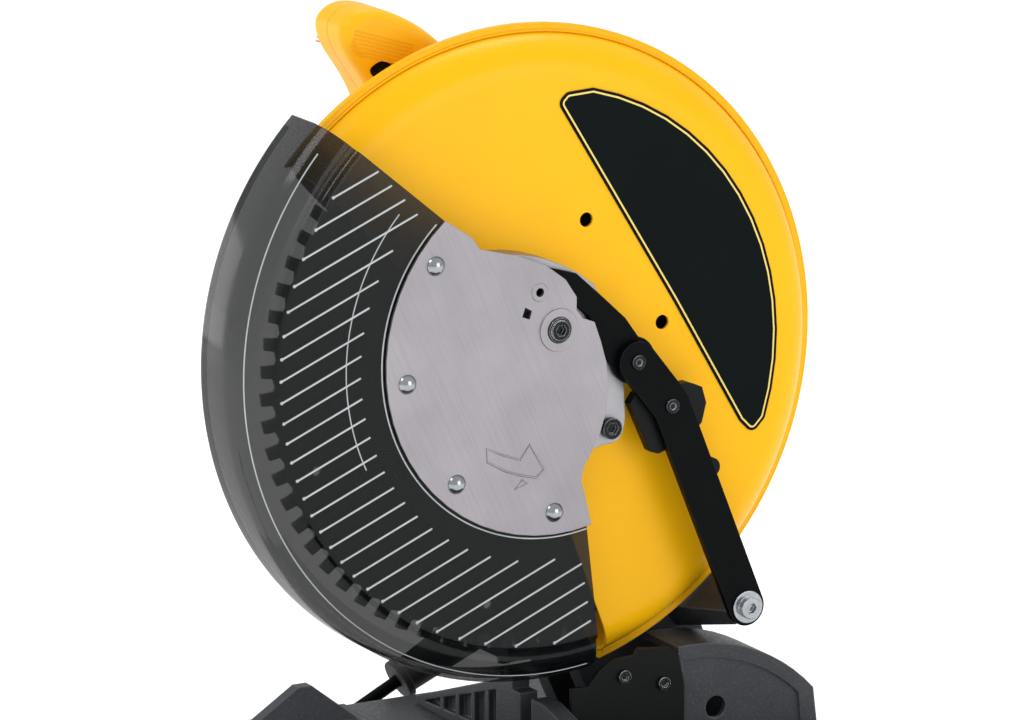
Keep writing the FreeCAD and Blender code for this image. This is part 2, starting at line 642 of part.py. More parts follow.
def handle_left():
    return handle_half(-82, -60.1, -82, -76, -60).cut(trigger_slot())


def handle_right():
    half = handle_half(-59.9, -38, -38, -60, -44).cut(trigger_slot())
    bores = [disc(y, z, 2.2, -70, -30) for y, z in handle_screw_spots()]
    sinks = [disc(y, z, 3.8, -40.8, -30) for y, z in handle_screw_spots()]
    return half.cut(group(bores)).cut(group(sinks))


def handle_screw_spots():
    return about(arbor_y, arbor_z, [(-70, 145), (0, 156), (33, 138), (34, 106)])


def handle_screws():
    return group([socket_screw(y, z, 3.6, 2.15, -38.4, 2.2, 14) for y, z in handle_screw_spots()])


def power_switch():
    return prism(about(arbor_y, arbor_z, [(-32, 172.8), (-20, 165), (-19, 171), (-31, 179)]), -74, -46)


def trigger():
    outline = [(-79, 174), (-75, 186), (-60, 186), (-44, 180), (-40.5, 174), (-45, 166), (-56, 163),
        (-66, 166), (-74, 171)]
    lever = prism(about(arbor_y, arbor_z, outline), -66.5, -53.5)
    return fuse([lever, disc(trigger_y, trigger_z, trigger_pin_r, -70, -50)])


def inlet_gland():
    y, z = arbor_y + 46, arbor_z + 126
    return rod(-60, z, 9, y, y + 12).cut(rod(-60, z, 4.2, y - 1, y + 13))


def spindle_lock():
    y = arbor_y
    button = rounded(rod(-57, arbor_z + 2, 9, y - 74, y - 66), 2)
    return fuse([button, rod(-57, arbor_z + 2, 6, y - 66, y - 46), rod(-57, arbor_z + 2, 2.6, y - 46,
        y - 26)])


# Lower guard and its link
def lower_guard_shield():
    above_shield = prism(about(arbor_y, arbor_z, [(-62, 90), (-188.3, 195.1), (-120, 260), (40,
        160)]), -30, 50)
    steps = [(88, 32), (88, 34.3), (183, 34.3), (187, 31.5), (193, 31), ((204, 25.5), (208.6, 13)),
        (208.6, -15)]
    steps += [(206.3, -15), (206.3, 12.6), ((202.2, 23.8), (192.6, 28.7)), (186, 29.2), (182, 32)]
    shell = turned(sweep_y, sweep_z, steps)
    keep = sector(sweep_y, sweep_z, 230, 126, 283, -30, 50)
    shell = shell.common(keep).cut(above_shield)
    lift = math.radians(23.1)
    ribs = []
    for i in range(27):
        offset = -178 + 12.4 * i
        rib = block(34, 35.4, -190, 40, -0.8, 0.8)
        rib.rotate(V(0, 0, 0), V(1, 0, 0), math.degrees(lift))
        rib.translate(V(0, sweep_y - offset * math.sin(lift) * 0.3, sweep_z + offset))
        ribs.append(rib)
    field = sector(sweep_y, sweep_z, 176, 135, 280, 33, 40).cut(disc(sweep_y, sweep_z, 117, 20, 50))
    ribs = [r.common(field) for r in ribs]
    body = fuse([shell] + [r for r in ribs if r.Volume > 1])
    return body.cut(group([disc(y, z, 3, 20, 50) for y, z in rivet_spots()]))


def rivet_spots():
    return about(arbor_y, arbor_z, [(-80, 73.1), (-99.1, 4), (-66.3, -60.5), (-0.1, -85.9)])


def lower_guard_plate():
    notch = [(-56, 88), (-50, 80), (-39, 77), (-23.3, 72.8), (-6.2, 65.9), (7.4, 55.7), (14.9, 44.4),
        (14.9, 36.5)]
    notch += [(19, 31), (27.2, 27.7), (31.3, 16.2), (35.4, 2.2), (36.8, -12.1), (35.4, -27.3), (31.3,
        -40.4)]
    notch += [(24.5, -53.7), (19.7, -61.1), (18.4, -68.4), (21.8, -81)]
    rim = arc_points(0, sweep_z - arbor_z, plate_r, 283, 130.5, 24)
    plate = prism(about(arbor_y, arbor_z, notch + rim), 34.5, 36.5)
    dish = tube(guard_y, guard_z, 13, 8, 36.4, 37.6)
    ring = tube(pin_y, pin_z, 5.5, 2.6, 36.4, 37.1)
    holes = [disc(guard_y, guard_z, 6 + fit, 30, 40), disc(pin_y, pin_z, 2.6, 30, 40)]
    holes += [disc(y, z, 3, 30, 40) for y, z in rivet_spots()]
    window = prism(about(arbor_y, arbor_z, [(-22, 36), (-17, 34), (-15.5, 39), (-20, 41.5)]), 30, 40)
    return fuse([plate, dish, ring]).cut(group(holes + [window]))


def plate_rivets():
    rivets = []
    for y, z in rivet_spots():
        dome = Part.makeSphere(6.56, V(33.84, y, z)).common(disc(y, z, 6.2, 36.5, 42))
        rivets.append(fuse([disc(y, z, 3, 31.6, 37), dome]))
    return group(rivets)


def guard_pivot_screw():
    body = fuse([disc(guard_y, guard_z, 3.95, 23, 38), disc(guard_y, guard_z, 6, 34.3, 39.6)])
    ring = tube(guard_y, guard_z, 7.6, 6.01, 37.8, 38.6)
    return group([body.cut(hexagon(guard_y, guard_z, 6, 36.6, 41)), ring])


def guard_spring():
    """Flat spiral that closes the lower guard."""
    turns = [math.radians(10 * i) for i in range(73)]

    def side(start):
        return [(guard_y + (start + a * 0.42) * math.cos(a),
            guard_z + (start + a * 0.42) * math.sin(a)) for a in turns]
    return prism(side(10.0) + side(11.0)[::-1], 31.9, 34.0)


joint_y, joint_z = arbor_y + 57.3, arbor_z - 0.4
knee_y, knee_z = arbor_y + 80.8, arbor_z - 30.1


def link_upper():
    """Upper link: a broad curved lever that runs in behind the guard plate."""
    outer = [(64, 9), (51.3, 26.5), (34.5, 42.2), (17.8, 57.2), (0, 62.4)]
    inner = [(-10, 42), (10, 44), (26, 30), (38, 4), (46, -8)]
    body = prism(about(arbor_y, arbor_z, outer + inner), 27.6, 31.2)
    ends = [disc(joint_y, joint_z, 14.5, 27.6, 31.2), disc(pin_y, pin_z, 8.5, 27.6, 31.2)]
    holes = [disc(guard_y, guard_z, 15, 20, 40), disc(joint_y, joint_z, 3, 20, 40), disc(pin_y, pin_z,
        4, 20, 40)]
    return fuse([body] + ends).cut(group(holes))


def link_lower():
    top = bar(joint_y, joint_z, 12.5, knee_y, knee_z, 12.5, 31.6, 36.4)
    leg = bar(knee_y, knee_z, 12.5, link_y, link_z, 12, 31.6, 36.4)
    holes = [disc(joint_y, joint_z, 3, 20, 40), disc(knee_y, knee_z, 2.5, 20, 40), disc(link_y,
        link_z, 5, 20, 40)]
    return fuse([top, leg]).cut(group(holes))


def link_pad():
    """Slider behind the link that keeps it off the guard face."""
    left = [(-26, 3), (-22, 9), (-13, 10), (14, 12), (24, 8), (27, -2), (24, -14), (16, -22), (-6,
        -30), (-12, -28)]
    body = prism(about(knee_y, knee_z, left), 24, 31.3)
    knob_y, knob_z = knee_y + 31, knee_z - 43
    knob = bar(knob_y, knob_z, 6, knob_y - 16, knob_z + 2, 8, 26, 31.3)
    return fuse([body, knob, prism(about(knee_y, knee_z, [(4, -26), (16, -22), (26, -50), (14, -46)]),
        26, 31.3)])


def link_rivets():
    spots = ((joint_y, joint_z, 3, 27.6), (knee_y, knee_z, 2.5, 31.6))
    rivets = []
    for y, z, r, x in spots:
        rivets.append(fuse([disc(y, z, r, x, 37), rounded(disc(y, z, 4.6, 36.4, 37.9),
            0.6).cut(disc(y, z, 2, 37.3, 40))]))
    return group(rivets)


def main():
    screws, sinks = hub_screws()
    made = {
        "base_casting": base_casting(), "rubber_feet": rubber_feet(), "pivot_bracket": pivot_bracket(),
        "pivot_shaft": pivot_shaft(), "shaft_clip": shaft_clip(), "pivot_spring": pivot_spring(),
        "stop_bolt": stop_bolt(), "lock_pin": lock_pin(), "rear_hood": rear_hood(),
        "chip_plate": chip_plate(), "chip_plate_screws": chip_plate_screws(), "link_screw": link_screw(),
        "fence": fence(), "fence_pivot_bolt": fence_pivot_bolt(), "fence_lock": fence_lock(),
        "vise_nut": vise_nut(), "vise_carriage": vise_carriage(), "vise_screw": vise_screw(),
        "vise_crank": vise_crank(), "crank_grip": crank_grip(), "release_lever": release_lever(),
        "lever_grip": lever_grip(), "upper_guard_near": upper_guard_near(),
        "upper_guard_far": upper_guard_far(), "guard_badge": guard_badge(),
        "guard_hub": guard_hub().cut(sinks), "hub_screws": screws, "head_casting": head_casting(),
        "gear_cover": gear_cover(), "pivot_bushes": pivot_bushes(), "spindle": spindle(),
        "spindle_bearings": spindle_bearings().cut(bearing_grooves()), "blade_flanges": blade_flanges(),
        "arbor_bolt": arbor_bolt(), "blade": blade(), "spindle_gear": spindle_gear(),
        "armature": armature(), "motor_fan": motor_fan(), "motor_bearings": motor_bearings(),
        "stator": stator(), "motor_housing": motor_housing(), "motor_end_cap": motor_end_cap(),
        "brush_sets": brush_sets(), "handle_left": handle_left(), "handle_right": handle_right(),
        "handle_screws": handle_screws(), "power_switch": power_switch(), "trigger": trigger(),
        "inlet_gland": inlet_gland(), "spindle_lock": spindle_lock(),
        "lower_guard_shield": lower_guard_shield(), "lower_guard_plate": lower_guard_plate(),
        "plate_rivets": plate_rivets(), "guard_pivot_screw": guard_pivot_screw(),
        "guard_spring": guard_spring(), "link_upper": link_upper(), "link_lower": link_lower(),
        "link_pad": link_pad(), "link_rivets": link_rivets(),
    }
    for name, shape in made.items():
        solids = shape.Solids
        print(name, len(solids), round(shape.Volume), shape.isValid())
        save(name, shape)


main()
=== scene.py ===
import json
import math

import bmesh
import bpy
from mathutils import Matrix, Vector


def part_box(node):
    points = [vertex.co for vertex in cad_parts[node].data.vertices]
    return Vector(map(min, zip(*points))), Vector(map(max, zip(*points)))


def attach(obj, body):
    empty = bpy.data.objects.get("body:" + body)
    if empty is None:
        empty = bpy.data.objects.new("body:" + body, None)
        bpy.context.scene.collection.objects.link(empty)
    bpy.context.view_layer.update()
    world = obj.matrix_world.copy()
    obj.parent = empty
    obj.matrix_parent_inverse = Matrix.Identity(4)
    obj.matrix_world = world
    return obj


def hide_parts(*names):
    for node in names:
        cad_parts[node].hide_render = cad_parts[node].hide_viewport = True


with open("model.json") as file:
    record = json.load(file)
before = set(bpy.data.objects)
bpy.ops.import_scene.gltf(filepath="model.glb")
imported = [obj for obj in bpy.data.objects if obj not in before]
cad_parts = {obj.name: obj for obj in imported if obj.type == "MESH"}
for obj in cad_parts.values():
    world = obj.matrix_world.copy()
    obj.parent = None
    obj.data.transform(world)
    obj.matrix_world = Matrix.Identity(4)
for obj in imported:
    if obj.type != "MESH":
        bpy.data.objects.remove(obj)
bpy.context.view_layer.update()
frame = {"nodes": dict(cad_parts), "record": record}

mm = 0.001
nodes = frame["nodes"]
bodyOf = {node: body for body, members in frame["record"]["behaviour"]["bodies"].items() for node in members}
slotOf = {part["node"]: part["material_slot"] for part in frame["record"]["subparts"]}

bladeLow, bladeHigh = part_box("blade")
arborY = (bladeLow.y + bladeHigh.y) / 2
arborZ = (bladeLow.z + bladeHigh.z) / 2
print("frame loaded, arbor at", round(arborY, 4), round(arborZ, 4))


def linear(hexColour):
    channels = [int(hexColour[i:i + 2], 16) / 255 for i in (1, 3, 5)]
    return [c / 12.92 if c <= 0.04045 else ((c + 0.055) / 1.055) ** 2.4 for c in channels] + [1.0]


# adds one node to a shader or geometry tree; an input is a value or another node's output
def addNode(tree, kind, settings=None, inputs=None):
    node = tree.nodes.new(kind)
    for name, value in (settings or {}).items():
        setattr(node, name, value)
    for name, value in (inputs or {}).items():
        if isinstance(value, bpy.types.NodeSocket):
            tree.links.new(value, node.inputs[name])
        else:
            node.inputs[name].default_value = value
    return node


def startMaterial(name, constants):
    material = bpy.data.materials.new(name)
    material.use_nodes = True
    tree = material.node_tree
    tree.nodes.clear()
    shader = addNode(tree, "ShaderNodeBsdfPrincipled", inputs=constants)
    addNode(tree, "ShaderNodeOutputMaterial", inputs={"Surface": shader.outputs[0]})
    place = addNode(tree, "ShaderNodeTexCoord").outputs["Object"]
    return material, tree, shader, place


# colour drift, uneven gloss, fine relief and softened edges, all in real millimetres; the edges are lightened partly
# as rubbed wear and partly as a painted highlight
def buildSurface(name, look, constants):
    material, tree, shader, place = startMaterial(name, constants)
    drift = addNode(tree, "ShaderNodeTexNoise", inputs={
        "Vector": place, "Scale": 1 / (look["driftMm"] * mm), "Detail": 3.0, "Roughness": 0.6})
    tone = addNode(tree, "ShaderNodeMixRGB", inputs={
        "Fac": drift.outputs["Fac"], "Color1": linear(look["dark"]), "Color2": linear(look["light"])})
    stretched = addNode(tree, "ShaderNodeMapping", {"vector_type": "TEXTURE"}, {
        "Vector": place, "Scale": look.get("stretch", (1, 1, 1)), "Rotation": look.get("turn", (0, 0, 0))})
    grain = addNode(tree, "ShaderNodeTexNoise", inputs={
        "Vector": stretched.outputs[0], "Scale": 1 / (look["grainMm"] * mm), "Detail": look.get("grainDetail", 2.0)})
    softEdge = addNode(tree, "ShaderNodeBevel", {"samples": 4}, {"Radius": look["edgeMm"] * mm})
    relief = addNode(tree, "ShaderNodeBump", inputs={
        "Height": grain.outputs["Fac"], "Normal": softEdge.outputs[0],
        "Strength": look.get("reliefStrength", 0.5), "Distance": look["reliefMm"] * mm})
    gloss = addNode(tree, "ShaderNodeMapRange", inputs={
        "Value": grain.outputs["Fac"], 1: 0.3, 2: 0.7, 3: look["gloss"][0], 4: look["gloss"][1]})
    face = addNode(tree, "ShaderNodeNewGeometry")
    turned = addNode(tree, "ShaderNodeVectorMath", {"operation": "DOT_PRODUCT"}, {
        0: softEdge.outputs[0], 1: face.outputs["Normal"]})
    # painted highlight and rubbed wear: where the softened normal leans away from the true face, the colour is mixed
    # towards a lighter edge colour
    rubbed = addNode(tree, "ShaderNodeMapRange", inputs={
        "Value": turned.outputs["Value"], 1: 0.985, 2: 0.80, 3: 0.0, 4: look.get("wear", 0.3)})
    worn = addNode(tree, "ShaderNodeMixRGB", inputs={
        "Fac": rubbed.outputs[0], "Color1": tone.outputs[0], "Color2": linear(look["rubbed"])})
    tree.links.new(worn.outputs[0], shader.inputs["Base Color"])
    tree.links.new(gloss.outputs[0], shader.inputs["Roughness"])
    tree.links.new(relief.outputs[0], shader.inputs["Normal"])
    return {"material": material, "tree": tree, "shader": shader, "place": place, "tone": tone, "worn": worn,
            "grain": grain, "relief": relief, "gloss": gloss}


# powder-coated steel: an even warm yellow with a soft sheen and a faint orange peel
powderCoat = buildSurface("yellowPowderCoat", {
    "dark": "#FBB806", "light": "#FFC00E", "rubbed": "#FFCF4C", "driftMm": 60, "grainMm": 2.4, "reliefMm": 0.06,
    "reliefStrength": 0.25, "gloss": (0.26, 0.34), "edgeMm": 1.2, "wear": 0.35},
    {"IOR": 1.45, "Specular IOR Level": 0.2})

# moulded glass-filled nylon in yellow: spark-eroded texture, real 0.3 mm, drawn 1 mm so that it shows
yellowNylon = buildSurface("yellowMouldedNylon", {
    "dark": "#F4B408", "light": "#FCC01C", "rubbed": "#FFD053", "driftMm": 35, "grainMm": 1.0, "reliefMm": 0.08,
    "reliefStrength": 0.35, "gloss": (0.34, 0.46), "edgeMm": 1.4, "wear": 0.25},
    {"IOR": 1.5, "Specular IOR Level": 0.2})

# moulded nylon in black: matt charcoal whose edges are painted grey, partly as rubbed wear and partly as a painted
# highlight
blackNylon = buildSurface("blackMouldedNylon", {
    "dark": "#08090A", "light": "#101213", "rubbed": "#3C3F42", "driftMm": 25, "grainMm": 1.0, "reliefMm": 0.10,
    "reliefStrength": 0.4, "gloss": (0.42, 0.58), "edgeMm": 1.0, "wear": 0.5},
    {"IOR": 1.5, "Specular IOR Level": 0.14})

# printed polycarbonate film: deep blue-black under a thin gloss layer, almost flat
printedFilm = buildSurface("printedPolycarbonateFilm", {
    "dark": "#050B0C", "light": "#0A1213", "rubbed": "#3A4448", "driftMm": 50, "grainMm": 6.0, "reliefMm": 0.02,
    "reliefStrength": 0.2, "gloss": (0.20, 0.28), "edgeMm": 0.4, "wear": 0.3},
    {"IOR": 1.5, "Specular IOR Level": 0.05})

# screen ink on the same film: the pale yellow border line
borderInk = buildSurface("yellowScreenInk", {
    "dark": "#E9CE62", "light": "#F4DC78", "rubbed": "#FBEFA8", "driftMm": 30, "grainMm": 3.0, "reliefMm": 0.02,
    "reliefStrength": 0.2, "gloss": (0.28, 0.36), "edgeMm": 0.3, "wear": 0.2}, {"IOR": 1.5})

# linished aluminium sheet: straight hairlines, real 0.15 mm apart, drawn 0.9 mm wide and 40 times as long
linished = buildSurface("linishedAluminium", {
    "dark": "#8A868C", "light": "#B9B5BA", "rubbed": "#F2F0F3", "driftMm": 90, "grainMm": 0.9, "reliefMm": 0.05,
    "reliefStrength": 0.3, "gloss": (0.34, 0.50), "edgeMm": 0.5, "wear": 0.9, "stretch": (1, 1, 40),
    "turn": (math.radians(24), 0, 0), "grainDetail": 4.0}, {"Metallic": 0.85})
hairlines = addNode(linished["tree"], "ShaderNodeMixRGB", {"blend_type": "MULTIPLY"}, {
    "Fac": 0.35, "Color1": linished["tone"].outputs[0], "Color2": linished["grain"].outputs["Fac"]})
linished["tree"].links.new(hairlines.outputs[0], linished["worn"].inputs["Color1"])

# bead-blasted aluminium die casting: light silver with a fine frosted grain
dieCast = buildSurface("beadBlastedDieCasting", {
    "dark": "#8F8E92", "light": "#ABAAAE", "rubbed": "#F5F4F6", "driftMm": 20, "grainMm": 0.9, "reliefMm": 0.10,
    "reliefStrength": 0.4, "gloss": (0.36, 0.52), "edgeMm": 1.0, "wear": 0.7}, {"Metallic": 0.8})

# textured grey paint over an aluminium casting: pebbled, with lighter specks, and edges lightened partly as rubbed
# wear and partly as a painted highlight
greyPaint = buildSurface("texturedGreyPaint", {
    "dark": "#33363A", "light": "#44474B", "rubbed": "#84868B", "driftMm": 30, "grainMm": 1.8, "reliefMm": 0.30,
    "reliefStrength": 0.6, "gloss": (0.34, 0.56), "edgeMm": 1.6, "wear": 0.6},
    {"IOR": 1.5, "Specular IOR Level": 0.25})
pebbles = addNode(greyPaint["tree"], "ShaderNodeTexVoronoi", inputs={
    "Vector": greyPaint["place"], "Scale": 1 / (2.2 * mm)})
speck = addNode(greyPaint["tree"], "ShaderNodeMapRange", inputs={
    "Value": pebbles.outputs["Distance"], 1: 0.32, 2: 0.12, 3: 0.0, 4: 0.35})
speckled = addNode(greyPaint["tree"], "ShaderNodeMixRGB", inputs={
    "Fac": speck.outputs[0], "Color1": greyPaint["tone"].outputs[0], "Color2": linear("#65676C")})
greyPaint["tree"].links.new(speckled.outputs[0], greyPaint["worn"].inputs["Color1"])

# black textured paint on pressed steel: deep black with a close sandy grain
blackPaint = buildSurface("blackTexturedPaint", {
    "dark": "#050708", "light": "#0A0D0E", "rubbed": "#4A4E51", "driftMm": 18, "grainMm": 1.1, "reliefMm": 0.16,
    "reliefStrength": 0.5, "gloss": (0.34, 0.52), "edgeMm": 0.7, "wear": 0.55},
    {"IOR": 1.5, "Specular IOR Level": 0.05})

# turned and ground steel: grey metal with faint tool lines round the part
turnedSteel = buildSurface("turnedSteel", {
    "dark": "#8C8D90", "light": "#B3B4B7", "rubbed": "#E4E5E8", "driftMm": 12, "grainMm": 0.8, "reliefMm": 0.04,
    "reliefStrength": 0.3, "gloss": (0.22, 0.36), "edgeMm": 0.5, "wear": 0.7, "stretch": (1, 12, 12)},
    {"Metallic": 1.0})

# bright zinc plate: mirror-like and slightly blue, with soft clouding
zincPlate = buildSurface("brightZincPlate", {
    "dark": "#8B8F94", "light": "#B4B8BD", "rubbed": "#F4F6F8", "driftMm": 5, "grainMm": 1.5, "reliefMm": 0.03,
    "reliefStrength": 0.2, "gloss": (0.10, 0.20), "edgeMm": 0.6, "wear": 0.8}, {"Metallic": 1.0})

# dark non-stick coating on the blade: charcoal with concentric grinding rings 2.2 mm apart
bladeCoat = buildSurface("darkBladeCoating", {
    "dark": "#15191B", "light": "#242A2C", "rubbed": "#7C8184", "driftMm": 45, "grainMm": 1.2, "reliefMm": 0.05,
    "reliefStrength": 0.3, "gloss": (0.30, 0.42), "edgeMm": 0.4, "wear": 0.9}, {"Metallic": 0.7})
centred = addNode(bladeCoat["tree"], "ShaderNodeMapping", inputs={
    "Vector": bladeCoat["place"], "Location": (0, -arborY, -arborZ)})
rings = addNode(bladeCoat["tree"], "ShaderNodeTexWave", {"wave_type": "RINGS", "rings_direction": "X"}, {
    "Vector": centred.outputs[0], "Scale": 1 / (2.2 * mm) / 20, "Distortion": 0.4})
ringRelief = addNode(bladeCoat["tree"], "ShaderNodeBump", inputs={
    "Height": rings.outputs["Fac"], "Normal": bladeCoat["relief"].outputs[0], "Strength": 0.25,
    "Distance": 0.04 * mm})
bladeCoat["tree"].links.new(ringRelief.outputs[0], bladeCoat["shader"].inputs["Normal"])

# brazed tungsten carbide: satin grey tips, brighter on the ground faces
carbide = buildSurface("tungstenCarbide", {
    "dark": "#7F8386", "light": "#A4A8AB", "rubbed": "#DADDE0", "driftMm": 4, "grainMm": 0.8, "reliefMm": 0.03,
    "reliefStrength": 0.3, "gloss": (0.25, 0.38), "edgeMm": 0.3, "wear": 0.8}, {"Metallic": 0.9})

# blackened cap screws and rivets: dark heads whose rims are painted near white, a painted highlight that partly also
# stands for rubbed wear
blackenedSteel = buildSurface("blackenedSteel", {
    "dark": "#17191B", "light": "#26292B", "rubbed": "#D7DADD", "driftMm": 4, "grainMm": 0.9, "reliefMm": 0.03,
    "reliefStrength": 0.3, "gloss": (0.22, 0.34), "edgeMm": 0.9, "wear": 1.0}, {"Metallic": 0.9})

# vulcanised rubber: flat black, lighter along edges and creases, partly as dust and partly as a painted highlight
rubber = buildSurface("vulcanisedRubber", {
    "dark": "#17181A", "light": "#232426", "rubbed": "#3B3C3E", "driftMm": 9, "grainMm": 1.3, "reliefMm": 0.15,
    "reliefStrength": 0.5, "gloss": (0.62, 0.80), "edgeMm": 1.0, "wear": 0.4}, {"IOR": 1.52})

# sintered bronze: brown-gold with open pores
bronze = buildSurface("sinteredBronze", {
    "dark": "#8A6434", "light": "#B58A4E", "rubbed": "#E3C084", "driftMm": 5, "grainMm": 0.9, "reliefMm": 0.10,
    "reliefStrength": 0.5, "gloss": (0.34, 0.50), "edgeMm": 0.4, "wear": 0.5}, {"Metallic": 1.0})

# enamelled copper wire: red-brown turns 1.2 mm apart under varnish
copperWire = buildSurface("enamelledCopper", {
    "dark": "#7A3B1E", "light": "#A9582E", "rubbed": "#D98A55", "driftMm": 10, "grainMm": 1.2, "reliefMm": 0.4,
    "reliefStrength": 0.7, "gloss": (0.22, 0.34), "edgeMm": 0.5, "wear": 0.4, "stretch": (1, 10, 10)},
    {"Metallic": 0.6, "Coat Weight": 0.5})

# smoked polycarbonate: see-through blue-black with a hard, glassy shine
smoked, smokedTree, smokedShader, smokedPlace = startMaterial("smokedPolycarbonate", {
    "Alpha": 0.76, "IOR": 1.5, "Specular IOR Level": 0.25})
smokedDrift = addNode(smokedTree, "ShaderNodeTexNoise", inputs={
    "Vector": smokedPlace, "Scale": 1 / (45 * mm), "Detail": 2.0})
smokedTone = addNode(smokedTree, "ShaderNodeMixRGB", inputs={
    "Fac": smokedDrift.outputs["Fac"], "Color1": linear("#060B0C"), "Color2": linear("#0C1213")})
smokedHaze = addNode(smokedTree, "ShaderNodeMapRange", inputs={
    "Value": smokedDrift.outputs["Fac"], 1: 0.3, 2: 0.7, 3: 0.07, 4: 0.13})
smokedEdge = addNode(smokedTree, "ShaderNodeBevel", {"samples": 4}, {"Radius": 0.7 * mm})
smokedFlow = addNode(smokedTree, "ShaderNodeBump", inputs={
    "Height": smokedDrift.outputs["Fac"], "Normal": smokedEdge.outputs[0], "Strength": 0.15, "Distance": 0.3 * mm})
smokedTree.links.new(smokedTone.outputs[0], smokedShader.inputs["Base Color"])
smokedTree.links.new(smokedHaze.outputs[0], smokedShader.inputs["Roughness"])
smokedTree.links.new(smokedFlow.outputs[0], smokedShader.inputs["Normal"])

finishes = {
    "guard_yellow": powderCoat["material"], "yellow_plastic": yellowNylon["material"],
    "black_plastic": blackNylon["material"], "black_panel": printedFilm["material"], "smoked_shield": smoked,
    "brushed_plate": linished["material"], "cast_silver": dieCast["material"], "cast_grey": greyPaint["material"],
    "black_steel": blackPaint["material"], "steel": turnedSteel["material"], "zinc": zincPlate["material"],
    "blade_steel": bladeCoat["material"], "rubber": rubber["material"], "bronze": bronze["material"],
    "winding": copperWire["material"]}
blackenedNodes = ("link_rivets", "hub_screws", "chip_plate_screws", "handle_screws", "guard_pivot_screw")
nodeFinish = {node: blackenedSteel["material"] if node in blackenedNodes else finishes[slot]
              for node, slot in slotOf.items()}
for node, finish in nodeFinish.items():
    meshData = nodes[node].data
    meshData.materials.clear()
    meshData.materials.append(finish)
print("materials made:", len(finishes))


def camel(name):
    words = name.split("_")
    return words[0] + "".join(word.capitalize() for word in words[1:])


def makePiece(name, mesh, body, slot, *replaced):
    piece = bpy.data.objects.new(name, mesh)
    bpy.context.scene.collection.objects.link(piece)
    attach(piece, body)
    if replaced:
        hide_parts(*replaced)
    return piece


# a copy of a CAD mesh with its triangles joined, flat faces whole and round faces smooth
def joinedMesh(node, creaseDegrees=28):
    mesh = bpy.data.meshes.new(camel(node))
    work = bmesh.new()
    work.from_mesh(nodes[node].data)
    bmesh.ops.remove_doubles(work, verts=work.verts, dist=0.004 * mm)
    bmesh.ops.dissolve_limit(work, angle_limit=math.radians(0.3), verts=work.verts, edges=work.edges)
    for face in work.faces:
        face.smooth = True
    for edge in work.edges:
        edge.smooth = len(edge.link_faces) == 2 and edge.calc_face_angle(0) < math.radians(creaseDegrees)
    work.to_mesh(mesh)
    work.free()
    for name in [a.name for a in mesh.attributes if a.name == "custom_normal"]:
        mesh.attributes.remove(mesh.attributes[name])
    return mesh


# the visible teeth are blunt and square: each CAD tooth's sloping back is moved up to make a flat top
toothLook = {"teeth": 66, "backFrom": 0.70, "backTo": 0.88, "moveTo": 0.53, "aboveMm": 172.0, "topMm": 176.6}


def bluntTeeth(mesh):
    step = 2 * math.pi / toothLook["teeth"]
    for vertex in mesh.vertices:
        y, z = vertex.co.y - arborY, vertex.co.z - arborZ
        angle = math.atan2(z, -y) % (2 * math.pi)
        tooth, along = divmod(angle / step, 1)
        if math.hypot(y, z) > toothLook["aboveMm"] * mm and toothLook["backFrom"] < along < toothLook["backTo"]:
            moved, radius = (tooth + toothLook["moveTo"]) * step, toothLook["topMm"] * mm
            vertex.co.y = arborY - radius * math.cos(moved)
            vertex.co.z = arborZ + radius * math.sin(moved)


# width in mm of the bevel on each dressed node; zero leaves its corners sharp
dressing = {
    "base_casting": 1.0, "rubber_feet": 0.6, "pivot_bracket": 1.0, "pivot_shaft": 0.4, "shaft_clip": 0.0,
    "pivot_spring": 0.0, "stop_bolt": 0.3, "rear_hood": 0.9, "chip_plate": 0.4, "chip_plate_screws": 0.2,
    "link_screw": 0.3, "fence_pivot_bolt": 0.3, "vise_nut": 0.6, "lock_pin": 0.3, "fence": 0.8, "fence_lock": 0.6,
    "vise_carriage": 0.8, "vise_screw": 0.0, "vise_crank": 0.6, "crank_grip": 0.5, "release_lever": 0.4,
    "lever_grip": 0.8, "upper_guard_near": 0.35, "upper_guard_far": 0.35, "guard_hub": 0.9, "hub_screws": 0.25,
    "head_casting": 0.8, "gear_cover": 0.6, "spindle": 0.2, "blade": 0.0, "blade_flanges": 0.4, "arbor_bolt": 0.3,
    "motor_housing": 0.5, "motor_end_cap": 0.5, "brush_sets": 0.3, "handle_left": 0.7, "handle_right": 0.7,
    "handle_screws": 0.2, "trigger": 0.9, "inlet_gland": 0.5, "spindle_lock": 0.3, "lower_guard_plate": 0.25,
    "plate_rivets": 0.15, "guard_pivot_screw": 0.2, "link_upper": 0.5, "link_lower": 0.5, "link_pad": 2.2,
    "link_rivets": 0.2}
for node, width in dressing.items():
    mesh = joinedMesh(node)
    if node == "blade":
        bluntTeeth(mesh)
    mesh.materials.append(nodeFinish[node])
    piece = makePiece(camel(node), mesh, bodyOf[node], slotOf[node], node)
    if width:
        corner = piece.modifiers.new("corner", "BEVEL")
        corner.width = width * mm
        corner.segments = 2
        corner.limit_method = "ANGLE"
        corner.angle_limit = math.radians(40)
        corner.harden_normals = False
print("CAD nodes dressed:", len(dressing))

# lower guard shield, turned about the centre of its arcs, thick where the wall steps down to its rolled rim
# its two ends are straight cuts, each given by two (y, z) points about the arbor
shieldLook = {"centreZ": 13.5, "from": 124.0, "to": 286.0, "steps": 108,
              "upperCut": ((-62.0, 90.0), (-188.3, 195.1)), "lowerCut": ((23.5, -100.4), (34.5, -194.0))}


def curveBetween(start, pull, end, count):
    points = []
    for i in range(count + 1):
        t = i / count
        points.append(tuple((1 - t) ** 2 * a + 2 * t * (1 - t) * b + t * t * c for a, b, c in zip(start, pull, end)))
    return points


